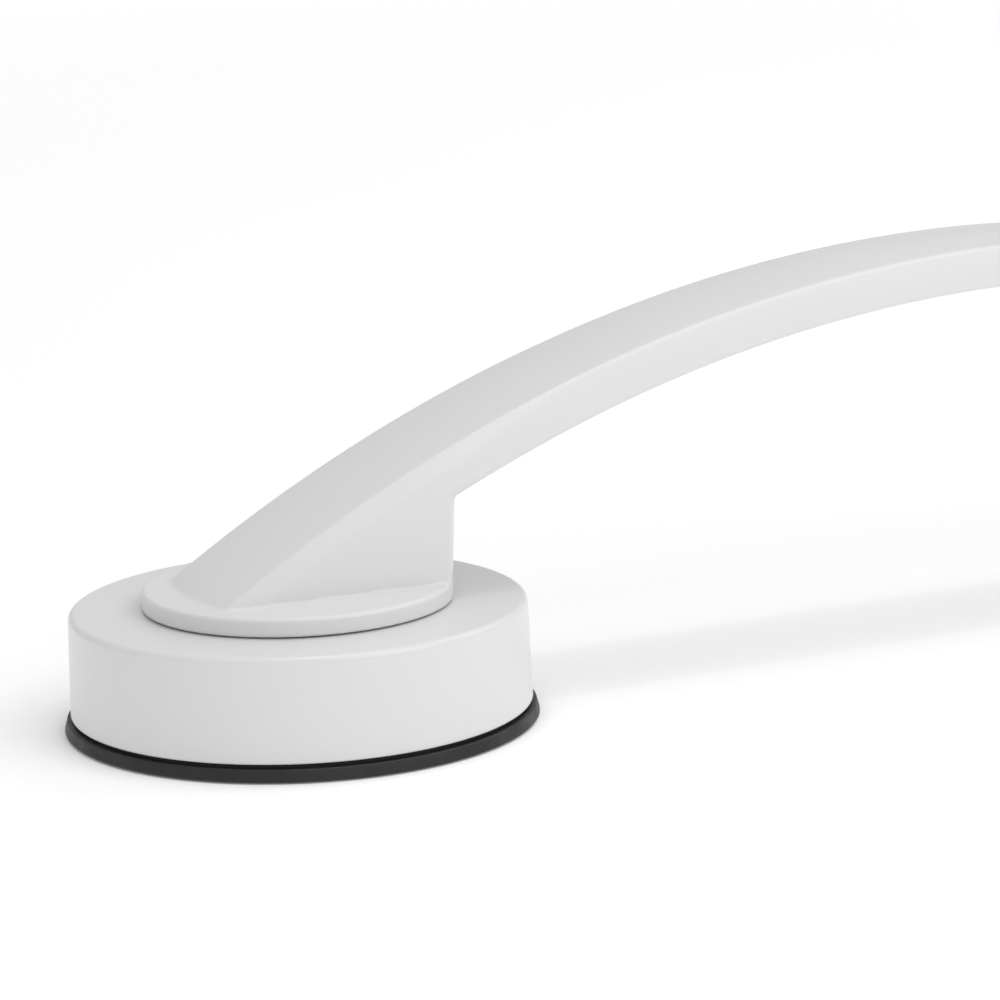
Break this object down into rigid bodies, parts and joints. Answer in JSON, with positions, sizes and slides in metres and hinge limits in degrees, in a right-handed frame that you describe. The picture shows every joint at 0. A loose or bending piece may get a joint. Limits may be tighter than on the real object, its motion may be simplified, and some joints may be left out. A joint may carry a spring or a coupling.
{
  "type": "suction grab bar",
  "caption": "Arched bathroom grab bar held to a smooth wall by twist-lock suction cups that lift the pads' centres when the round caps are turned.",
  "frame": {"origin": "on the wall plane, midway between the two cups", "axes": "+X along the bar, +Z away from the wall, +Y across the bar"},
  "size_m": [0.3452, 0.0782, 0.0688],
  "materials": {
    "white_abs": "satin moulded ABS",
    "cap_abs": "satin moulded ABS",
    "pad_rubber": "smooth matt black rubber",
    "grey_nylon": "moulded nylon",
    "black_acetal": "moulded acetal",
    "stem_zinc": "zinc plated steel",
    "screw_steel": "plain stainless steel"
  },
  "bodies": {
    "bar": {"grip_shell": "white_abs", "grip_cover": "white_abs", "cover_screws": "screw_steel", "left_hub": "grey_nylon", "left_thrust_washer": "grey_nylon", "left_retainer": "grey_nylon", "left_retainer_screws": "screw_steel", "left_slip_ring": "black_acetal", "left_suction_pad": "pad_rubber", "right_hub": "grey_nylon", "right_thrust_washer": "grey_nylon", "right_retainer": "grey_nylon", "right_retainer_screws": "screw_steel", "right_slip_ring": "black_acetal", "right_suction_pad": "pad_rubber"},
    "left_cap": {"left_lock_cap": "cap_abs", "left_drive_nut": "black_acetal", "left_nut_screws": "screw_steel"},
    "left_stem": {"left_lift_stem": "stem_zinc", "left_lift_plate": "stem_zinc", "left_stem_screw": "screw_steel"},
    "right_cap": {"right_lock_cap": "cap_abs", "right_drive_nut": "black_acetal", "right_nut_screws": "screw_steel"},
    "right_stem": {"right_lift_stem": "stem_zinc", "right_lift_plate": "stem_zinc", "right_stem_screw": "screw_steel"}
  },
  "joints": [
    {"name": "left_cap_turn", "type": "hinge", "parent": "bar", "child": "left_cap", "pos_m": [-0.1335, 0, 0.018], "axis": [0, 0, -1], "range_deg": [0, 240]},
    {"name": "left_stem_lift", "type": "slide", "parent": "bar", "child": "left_stem", "axis": [0, 0, 1], "range_m": [0, 0.004], "deforming": ["left_suction_pad"]},
    {"name": "right_cap_turn", "type": "hinge", "parent": "bar", "child": "right_cap", "pos_m": [0.1335, 0, 0.018], "axis": [0, 0, -1], "range_deg": [0, 240]},
    {"name": "right_stem_lift", "type": "slide", "parent": "bar", "child": "right_stem", "axis": [0, 0, 1], "range_m": [0, 0.004], "deforming": ["right_suction_pad"]}
  ],
  "couplings": [
    {"joint": "left_stem_lift", "follows": "left_cap_turn", "m_per_rad": 0.00095492},
    {"joint": "right_stem_lift", "follows": "right_cap_turn", "m_per_rad": 0.00095492}
  ]
}
